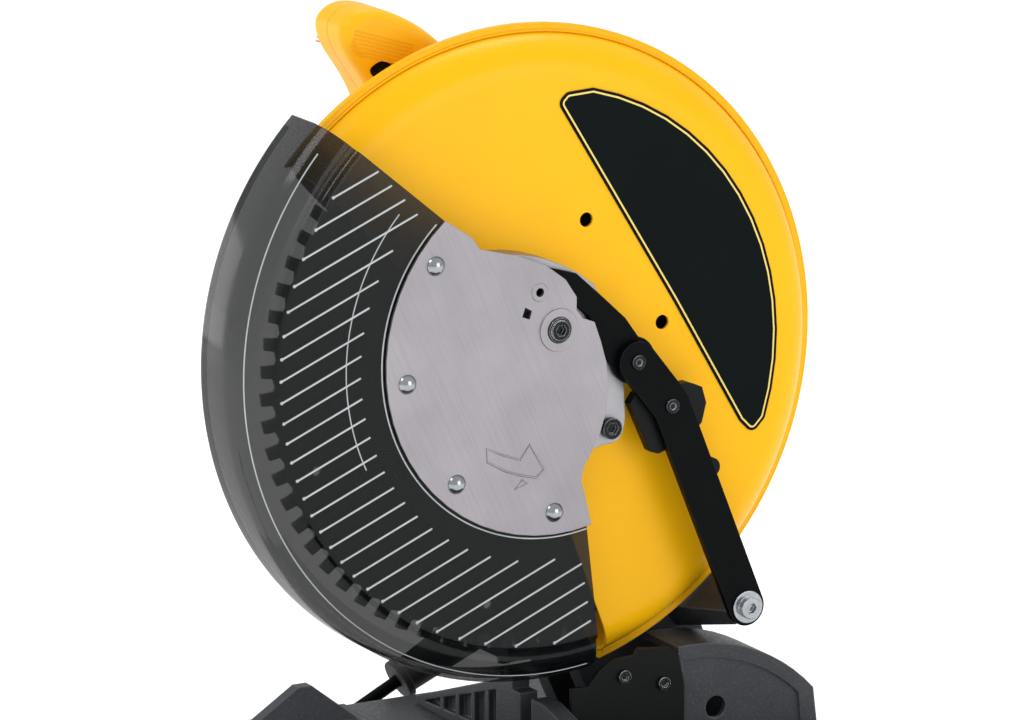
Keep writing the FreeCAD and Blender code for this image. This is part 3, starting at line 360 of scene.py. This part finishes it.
def shieldMesh():
    outer = [(88, 34.3), (181, 34.3)] + curveBetween((183, 34.2), (185, 33.6), (185.6, 31.8), 4)
    outer += curveBetween((187, 31.0), (203.5, 32), (208.6, 13), 12) + [(208.6, -15)]
    inner = [(206.3, -15)] + curveBetween((206.3, 12.6), (202, 29.4), (187, 28.6), 12)
    inner += curveBetween((184.6, 29), (183, 31.6), (180, 32), 4) + [(88, 32)]
    profile = outer + inner
    work = bmesh.new()
    rings = []
    for step in range(shieldLook["steps"] + 1):
        share = step / shieldLook["steps"]
        angle = math.radians(shieldLook["from"] + (shieldLook["to"] - shieldLook["from"]) * share)
        y0, z0 = arborY, arborZ + shieldLook["centreZ"] * mm
        rings.append([work.verts.new((x * mm, y0 + r * mm * math.cos(angle), z0 + r * mm * math.sin(angle)))
                      for r, x in profile])
    count = len(profile)
    for near, far in zip(rings, rings[1:]):
        for i in range(count):
            work.faces.new((near[i], near[(i + 1) % count], far[(i + 1) % count], far[i]))
    work.faces.new(rings[0][::-1])
    work.faces.new(rings[-1])
    for cut, side in (("upperCut", -1), ("lowerCut", 1)):
        (y1, z1), (y2, z2) = shieldLook[cut]
        along = Vector((0, y2 - y1, z2 - z1)).normalized()
        outwards = Vector((side, 0, 0)).cross(along)
        cutter = bmesh.ops.bisect_plane(
            work, geom=work.verts[:] + work.edges[:] + work.faces[:], dist=1e-6,
            plane_co=Vector((0, arborY + y1 * mm, arborZ + z1 * mm)), plane_no=outwards, clear_outer=True)
        rim = [e for e in cutter["geom_cut"] if isinstance(e, bmesh.types.BMEdge)]
        bmesh.ops.holes_fill(work, edges=rim)
    bmesh.ops.recalc_face_normals(work, faces=work.faces)
    for face in work.faces:
        face.smooth = True
    for edge in work.edges:
        edge.smooth = edge.calc_face_angle(0) < math.radians(32)
    mesh = bpy.data.meshes.new("guardShield")
    work.to_mesh(mesh)
    work.free()
    mesh.materials.append(smoked)
    return mesh


makePiece("guardShield", shieldMesh(), "lower_guard", "smoked_shield", "lower_guard_shield")
print("shield made")


# starts a geometry tree with named inputs; returns the tree, its input node and the socket identifiers
def startTree(name, sizes):
    tree = bpy.data.node_groups.new(name, "GeometryNodeTree")
    tree.interface.new_socket(name="Geometry", in_out="OUTPUT", socket_type="NodeSocketGeometry")
    identifiers = {}
    for label, value in sizes.items():
        kind = "NodeSocketInt" if isinstance(value, int) else "NodeSocketFloat"
        identifiers[label] = tree.interface.new_socket(name=label, in_out="INPUT", socket_type=kind).identifier
    return tree, addNode(tree, "NodeGroupInput").outputs, identifiers


# closes the tree, runs it with its sizes and keeps the result as one plain mesh
def growPiece(name, tree, identifiers, sizes, geometry, material, body, slot, smoothDegrees=35):
    real = addNode(tree, "GeometryNodeRealizeInstances", inputs={"Geometry": geometry})
    painted = addNode(tree, "GeometryNodeSetMaterial", inputs={"Geometry": real.outputs[0], "Material": material})
    addNode(tree, "NodeGroupOutput", inputs={"Geometry": painted.outputs[0]})
    host = bpy.data.objects.new(name + "Host", bpy.data.meshes.new(name + "Host"))
    bpy.context.scene.collection.objects.link(host)
    modifier = host.modifiers.new(name, "NODES")
    modifier.node_group = tree
    for label, identifier in identifiers.items():
        modifier[identifier] = sizes[label]
    mesh = bpy.data.meshes.new_from_object(host.evaluated_get(bpy.context.evaluated_depsgraph_get()))
    host.modifiers.clear()
    bpy.data.objects.remove(host)
    mesh.name = name
    work = bmesh.new()
    work.from_mesh(mesh)
    for face in work.faces:
        face.smooth = True
    for edge in work.edges:
        edge.smooth = edge.calc_face_angle(0) < math.radians(smoothDegrees)
    work.to_mesh(mesh)
    work.free()
    print(name, "grown:", len(mesh.polygons), "faces")
    return makePiece(name, mesh, body, slot)


def maths(tree, operation, first, second=0.0):
    return addNode(tree, "ShaderNodeMath", {"operation": operation}, {0: first, 1: second}).outputs[0]


# parallel stiffening ribs on the shield: each runs from the outer circle to the plate's circle or to the cut edge
ribSizes = {"Count": 29, "Pitch": 0.01195, "First": -0.167, "Outer": 0.181, "Inner": 0.129, "Upper": -0.362,
            "Lower": 0.233, "Thick": 0.00065, "Lift": math.radians(23.1), "Face": 0.0343, "Margin": 0.004,
            "Bead": 0.0011}
ribTree, ribIn, ribIds = startTree("shieldRibs", ribSizes)
ribIndex = addNode(ribTree, "GeometryNodeInputIndex").outputs[0]
across = maths(ribTree, "ADD", ribIn["First"], maths(ribTree, "MULTIPLY", ribIndex, ribIn["Pitch"]))
acrossSquared = maths(ribTree, "MULTIPLY", across, across)


def halfChord(radius):
    room = maths(ribTree, "SUBTRACT", maths(ribTree, "MULTIPLY", radius, radius), acrossSquared)
    return maths(ribTree, "SQRT", maths(ribTree, "MAXIMUM", room))


ribStart = maths(ribTree, "MULTIPLY", halfChord(ribIn["Outer"]), -1.0)
circleEnd = maths(ribTree, "MULTIPLY", halfChord(ribIn["Inner"]), -1.0)
upperEnd = maths(ribTree, "SUBTRACT", maths(ribTree, "MULTIPLY", across, ribIn["Upper"]), ribIn["Margin"])
lowerEnd = maths(ribTree, "SUBTRACT", maths(ribTree, "MULTIPLY", across, ribIn["Lower"]), ribIn["Margin"])
ribEnd = maths(ribTree, "MINIMUM", circleEnd, maths(ribTree, "MINIMUM", upperEnd, lowerEnd))
ribLength = maths(ribTree, "SUBTRACT", ribEnd, ribStart)
ribCos = maths(ribTree, "COSINE", ribIn["Lift"])
ribSin = maths(ribTree, "SINE", ribIn["Lift"])


# a point on rib number Index, at a distance along it, on the shield's face
def ribPoint(along):
    y = maths(ribTree, "SUBTRACT", maths(ribTree, "MULTIPLY", along, ribCos),
              maths(ribTree, "MULTIPLY", across, ribSin))
    z = maths(ribTree, "ADD", maths(ribTree, "MULTIPLY", along, ribSin), maths(ribTree, "MULTIPLY", across, ribCos))
    return addNode(ribTree, "ShaderNodeCombineXYZ", inputs={
        "X": ribIn["Face"], "Y": maths(ribTree, "ADD", y, arborY),
        "Z": maths(ribTree, "ADD", z, arborZ + shieldLook["centreZ"] * mm)})


ribSeeds = addNode(ribTree, "GeometryNodePoints", inputs={"Count": ribIn["Count"]})
ribLong = maths(ribTree, "GREATER_THAN", ribLength, 0.012)
ribMiddle = ribPoint(maths(ribTree, "MULTIPLY", maths(ribTree, "ADD", ribStart, ribEnd), 0.5))
ribAt = addNode(ribTree, "GeometryNodeSetPosition", inputs={
    "Geometry": ribSeeds.outputs[0], "Position": ribMiddle.outputs[0]})
ribBar = addNode(ribTree, "GeometryNodeMeshCylinder", inputs={"Vertices": 10, "Radius": ribIn["Thick"], "Depth": 1.0})
ribScale = addNode(ribTree, "ShaderNodeCombineXYZ", inputs={"X": 1.0, "Y": 1.0, "Z": ribLength})
ribTilt = maths(ribTree, "SUBTRACT", ribIn["Lift"], math.radians(90))
ribTurn = addNode(ribTree, "ShaderNodeCombineXYZ", inputs={"X": ribTilt})
ribBars = addNode(ribTree, "GeometryNodeInstanceOnPoints", inputs={
    "Points": ribAt.outputs[0], "Selection": ribLong, "Instance": ribBar.outputs[0],
    "Rotation": ribTurn.outputs[0], "Scale": ribScale.outputs[0]})
beadAt = addNode(ribTree, "GeometryNodeSetPosition", inputs={
    "Geometry": ribSeeds.outputs[0], "Position": ribPoint(ribStart).outputs[0]})
bead = addNode(ribTree, "GeometryNodeMeshUVSphere", inputs={"Segments": 14, "Rings": 7, "Radius": ribIn["Bead"]})
beadScale = addNode(ribTree, "ShaderNodeCombineXYZ", inputs={"X": 0.45, "Y": 1.0, "Z": 1.0})
beads = addNode(ribTree, "GeometryNodeInstanceOnPoints", inputs={
    "Points": beadAt.outputs[0], "Selection": ribLong, "Instance": bead.outputs[0], "Scale": beadScale.outputs[0]})
ribJoin = addNode(ribTree, "GeometryNodeJoinGeometry", inputs={0: ribBars.outputs[0]})
ribTree.links.new(beads.outputs[0], ribJoin.inputs[0])

# light grey paint for the smoked plastic's ribs: a painted highlight along each crest, nearly opaque
ribCrestHighlight = buildSurface("smokedRibCrest", {
    "dark": "#9AA1A4", "light": "#C4CACC", "rubbed": "#E8ECEE", "driftMm": 20, "grainMm": 3.0, "reliefMm": 0.03,
    "reliefStrength": 0.2, "gloss": (0.08, 0.16), "edgeMm": 0.3, "wear": 0.3}, {"IOR": 1.8})
growPiece("shieldRibs", ribTree, ribIds, ribSizes, ribJoin.outputs[0], ribCrestHighlight["material"],
          "lower_guard", "smoked_shield")

# round beads that follow an arc: rolled lips on the yellow guard, and on the shield light grey lines that are painted
# highlights
def growBead(name, sizes, material, body, slot):
    tree, given, identifiers = startTree(name, sizes)
    arc = addNode(tree, "GeometryNodeCurveArc", {"mode": "RADIUS"}, {
        "Resolution": given["Steps"], "Radius": given["Radius"], "Start Angle": given["From"],
        "Sweep Angle": given["Sweep"]})
    section = addNode(tree, "GeometryNodeCurvePrimitiveCircle", inputs={"Resolution": 8, "Radius": given["Bead"]})
    swept = addNode(tree, "GeometryNodeCurveToMesh", inputs={
        "Curve": arc.outputs[0], "Profile Curve": section.outputs[0], "Fill Caps": True})
    centre = addNode(tree, "ShaderNodeCombineXYZ", inputs={
        "X": given["Across"], "Y": arborY, "Z": maths(tree, "ADD", given["Lift"], arborZ)})
    stood = addNode(tree, "GeometryNodeTransform", inputs={
        "Geometry": swept.outputs[0], "Rotation": (math.radians(90), 0, math.radians(90)),
        "Translation": centre.outputs[0]})
    growPiece(name, tree, identifiers, sizes, stood.outputs[0], material, body, slot)


# each run: radius, place across the saw, thickness and lift in metres, first and last angle in degrees, body
beadRuns = {
    "lipNearOuter": (0.2021, -0.0086, 0.0008, 0.0, -73.2, 138.7, "head"),
    "lipNearInner": (0.1985, -0.0073, 0.0007, 0.0, -73.0, 138.6, "head"),
    "lipFarOuter": (0.2021, -0.0116, 0.0008, 0.0, -73.2, 138.7, "head"),
    # the shield's lines are painted highlights, drawn in the light grey crest colour
    "shieldShoulderLine": (0.2012, 0.0262, 0.0005, 0.0135, 139.0, 278.0, "lower_guard"),
    "shieldContourLine": (0.1385, 0.0344, 0.0004, 0.0135, 138.0, 205.0, "lower_guard"),
    "shieldRimLine": (0.2076, -0.0110, 0.0008, 0.0135, 137.0, 279.5, "lower_guard"),
    "shieldEdgeLine": (0.2076, -0.0145, 0.0009, 0.0135, 137.0, 279.5, "lower_guard"),
    "shieldHubLine": (0.1150, 0.0345, 0.0005, 0.0135, 133.0, 281.5, "lower_guard")}
for name, (radius, across, thick, lift, first, last, body) in beadRuns.items():
    onHead = body == "head"
    growBead(name, {"Steps": 120, "Radius": radius, "From": math.radians(first), "Sweep": math.radians(last - first),
                    "Bead": thick, "Across": across, "Lift": lift},
             powderCoat["material"] if onHead else ribCrestHighlight["material"], body,
             "guard_yellow" if onHead else "smoked_shield")

# carbide tips brazed into the tooth gullets
tipSizes = {"Teeth": 66, "Radius": 0.1745, "Long": 0.0055, "Deep": 0.0022, "Wide": 0.0034, "Phase": 0.90,
            "Tilt": 0.12}
tipTree, tipIn, tipIds = startTree("bladeTips", tipSizes)
tipSeeds = addNode(tipTree, "GeometryNodePoints", inputs={"Count": tipIn["Teeth"]})
tipIndex = addNode(tipTree, "GeometryNodeInputIndex").outputs[0]
tipStep = maths(tipTree, "DIVIDE", 2 * math.pi, tipIn["Teeth"])
tipAngle = maths(tipTree, "MULTIPLY", maths(tipTree, "ADD", tipIndex, tipIn["Phase"]), tipStep)
tipBack = maths(tipTree, "MULTIPLY", maths(tipTree, "COSINE", tipAngle), tipIn["Radius"])
tipRise = maths(tipTree, "MULTIPLY", maths(tipTree, "SINE", tipAngle), tipIn["Radius"])
tipY = maths(tipTree, "SUBTRACT", arborY, tipBack)
tipZ = maths(tipTree, "ADD", arborZ, tipRise)
tipPlace = addNode(tipTree, "ShaderNodeCombineXYZ", inputs={"Y": tipY, "Z": tipZ})
tipAt = addNode(tipTree, "GeometryNodeSetPosition", inputs={
    "Geometry": tipSeeds.outputs[0], "Position": tipPlace.outputs[0]})
tipSize = addNode(tipTree, "ShaderNodeCombineXYZ", inputs={
    "X": tipIn["Wide"], "Y": tipIn["Long"], "Z": tipIn["Deep"]})
tipBlock = addNode(tipTree, "GeometryNodeMeshCube", inputs={"Size": tipSize.outputs[0]})
tipTurn = addNode(tipTree, "ShaderNodeCombineXYZ", inputs={
    "X": maths(tipTree, "SUBTRACT", maths(tipTree, "MULTIPLY", tipAngle, -1.0), tipIn["Tilt"])})
tips = addNode(tipTree, "GeometryNodeInstanceOnPoints", inputs={
    "Points": tipAt.outputs[0], "Instance": tipBlock.outputs[0], "Rotation": tipTurn.outputs[0]})
growPiece("bladeTips", tipTree, tipIds, tipSizes, tips.outputs[0], carbide["material"], "spindle", "blade_steel")

# printed badge: the film's face is inset twice, and the ring between the insets is the border line
badgeLook = {"marginMm": 1.7, "lineMm": 1.1}


def badgeMesh():
    mesh = joinedMesh("guard_badge")
    work = bmesh.new()
    work.from_mesh(mesh)
    bmesh.ops.dissolve_limit(work, angle_limit=math.radians(1), verts=work.verts, edges=work.edges)
    front = [max((f for f in work.faces if f.normal.x > 0.9), key=lambda f: f.calc_area())]
    bmesh.ops.inset_region(work, faces=front, thickness=badgeLook["marginMm"] * mm, use_even_offset=True)
    ring = bmesh.ops.inset_region(work, faces=front, thickness=badgeLook["lineMm"] * mm, use_even_offset=True)
    for face in ring["faces"]:
        face.material_index = 1
    work.to_mesh(mesh)
    work.free()
    mesh.materials.append(printedFilm["material"])
    mesh.materials.append(borderInk["material"])
    return mesh


makePiece("guardBadge", badgeMesh(), "head", "black_panel", "guard_badge")

# embossed turning arrow on the plate: one raised line round the arrow and one round its small head
arrowLook = {
    "face": 36.5, "line": 0.7,
    "shaft": [(-46.2, -41.3), (-35, -46.5), (-23.3, -50.8), (-17.0, -42.3), (-7.2, -58.5), (-12.4, -63.0),
              (-22.9, -60.4), (-34.2, -56.2), (-45.5, -49.6)],
    "head": [(-26.8, -68.4), (-18.5, -65.7), (-22.0, -63.5)]}


def raisedLine(name, points):
    curve = bpy.data.curves.new(name, "CURVE")
    curve.dimensions = "3D"
    curve.bevel_depth = arrowLook["line"] * mm
    curve.bevel_resolution = 2
    spline = curve.splines.new("POLY")
    spline.points.add(len(points) - 1)
    for point, (y, z) in zip(spline.points, points):
        point.co = (arrowLook["face"] * mm, arborY + y * mm, arborZ + z * mm, 1)
    spline.use_cyclic_u = True
    holder = bpy.data.objects.new(name + "Host", curve)
    bpy.context.scene.collection.objects.link(holder)
    mesh = bpy.data.meshes.new_from_object(holder.evaluated_get(bpy.context.evaluated_depsgraph_get()))
    bpy.data.objects.remove(holder)
    for polygon in mesh.polygons:
        polygon.use_smooth = True
    mesh.materials.clear()
    mesh.materials.append(linished["material"])
    makePiece(name, mesh, "lower_guard", "brushed_plate")


raisedLine("arrowShaft", arrowLook["shaft"])
raisedLine("arrowHead", arrowLook["head"])
print("badge and arrow made")

# fine lengthwise ribs on both cheeks of the handle's grip, stacked across it
gripSizes = {"Count": 7, "Pitch": 0.0022, "Length": 0.040, "Thick": 0.0005, "Lean": math.radians(-17)}
gripMiddle = {"aftMm": -76.0, "upMm": 190.0}
for side, face in (("Near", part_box("handle_right")[1].x), ("Far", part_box("handle_left")[0].x)):
    gripTree, gripIn, gripIds = startTree("gripRibs" + side, gripSizes)
    gripSeeds = addNode(gripTree, "GeometryNodePoints", inputs={"Count": gripIn["Count"]})
    gripIndex = addNode(gripTree, "GeometryNodeInputIndex").outputs[0]
    halfCount = maths(gripTree, "MULTIPLY", maths(gripTree, "SUBTRACT", gripIn["Count"], 1.0), 0.5)
    offset = maths(gripTree, "MULTIPLY", maths(gripTree, "SUBTRACT", gripIndex, halfCount), gripIn["Pitch"])
    gripY = maths(gripTree, "SUBTRACT", arborY + gripMiddle["aftMm"] * mm,
                  maths(gripTree, "MULTIPLY", offset, maths(gripTree, "SINE", gripIn["Lean"])))
    gripZ = maths(gripTree, "ADD", arborZ + gripMiddle["upMm"] * mm,
                  maths(gripTree, "MULTIPLY", offset, maths(gripTree, "COSINE", gripIn["Lean"])))
    gripPlace = addNode(gripTree, "ShaderNodeCombineXYZ", inputs={"X": face, "Y": gripY, "Z": gripZ})
    gripAt = addNode(gripTree, "GeometryNodeSetPosition", inputs={
        "Geometry": gripSeeds.outputs[0], "Position": gripPlace.outputs[0]})
    gripBar = addNode(gripTree, "GeometryNodeMeshCylinder", inputs={
        "Vertices": 10, "Radius": gripIn["Thick"], "Depth": gripIn["Length"]})
    gripTurn = addNode(gripTree, "ShaderNodeCombineXYZ", inputs={
        "X": maths(gripTree, "ADD", gripIn["Lean"], math.radians(90))})
    gripBars = addNode(gripTree, "GeometryNodeInstanceOnPoints", inputs={
        "Points": gripAt.outputs[0], "Instance": gripBar.outputs[0], "Rotation": gripTurn.outputs[0]})
    growPiece("gripRibs" + side, gripTree, gripIds, gripSizes, gripBars.outputs[0], yellowNylon["material"],
              "head", "yellow_plastic")

# pale studio floor, soft boxes and an even sky
floorMesh = bpy.data.meshes.new("studioFloor")
floorMesh.from_pydata([(-30, -30, 0), (30, -30, 0), (30, 30, 0), (-30, 30, 0)], [], [(0, 1, 2, 3)])
floor = bpy.data.objects.new("studioFloor", floorMesh)
bpy.context.scene.collection.objects.link(floor)
paper = startMaterial("studioPaper", {
    "Base Color": linear("#FBFBFA"), "Roughness": 0.9, "Specular IOR Level": 0.1,
    "Emission Color": linear("#FFFFFF"), "Emission Strength": 0.25})[0]
floorMesh.materials.append(paper)

sky = bpy.data.worlds.new("studioSky")
sky.use_nodes = True
sky.node_tree.nodes["Background"].inputs["Color"].default_value = linear("#FFFFFF")
sky.node_tree.nodes["Background"].inputs["Strength"].default_value = 0.71
bpy.context.scene.world = sky

azimuth, elevation = math.radians(61.1), math.radians(13.3)
toCamera = Vector((math.sin(azimuth) * math.cos(elevation), -math.cos(azimuth) * math.cos(elevation),
                   math.sin(elevation)))
toRight = Vector((math.cos(azimuth), math.sin(azimuth), 0))
toUp = toCamera.cross(toRight)
arbor = Vector((0, arborY, arborZ))

# soft boxes as steps from the arbor: metres right, up and towards the viewer, side length, watts
softBoxes = {
    "keyBox": (-1.6, 1.9, 1.4, 1.0, 20), "fillBox": (2.0, 0.2, 1.8, 1.6, 18), "topBox": (0.2, 2.4, -0.6, 1.2, 16),
    "rimBox": (-2.2, 0.4, -0.9, 0.9, 7)}
for name, (right, up, forward, side, watts) in softBoxes.items():
    lamp = bpy.data.lights.new(name, "AREA")
    lamp.energy = watts
    lamp.size = side
    box = bpy.data.objects.new(name, lamp)
    bpy.context.scene.collection.objects.link(box)
    box.location = arbor + toRight * right + toUp * up + toCamera * forward
    box.rotation_euler = (arbor - box.location).to_track_quat("-Z", "Y").to_euler()

cameraLook = {"distance": 4.0, "lens": 235, "sensor": 36, "asideMm": 7.8}
camera = bpy.data.objects.new("productCamera", bpy.data.cameras.new("productCamera"))
bpy.context.scene.collection.objects.link(camera)
camera.data.lens = cameraLook["lens"]
camera.data.sensor_width = cameraLook["sensor"]
camera.data.clip_end = 200
turn = Matrix((toRight, toUp, toCamera)).transposed().to_4x4()
camera.matrix_world = Matrix.Translation(
    arbor - toRight * cameraLook["asideMm"] * mm + toCamera * cameraLook["distance"]) @ turn
bpy.context.scene.camera = camera
bpy.context.scene.view_settings.view_transform = "Standard"
print("studio set")
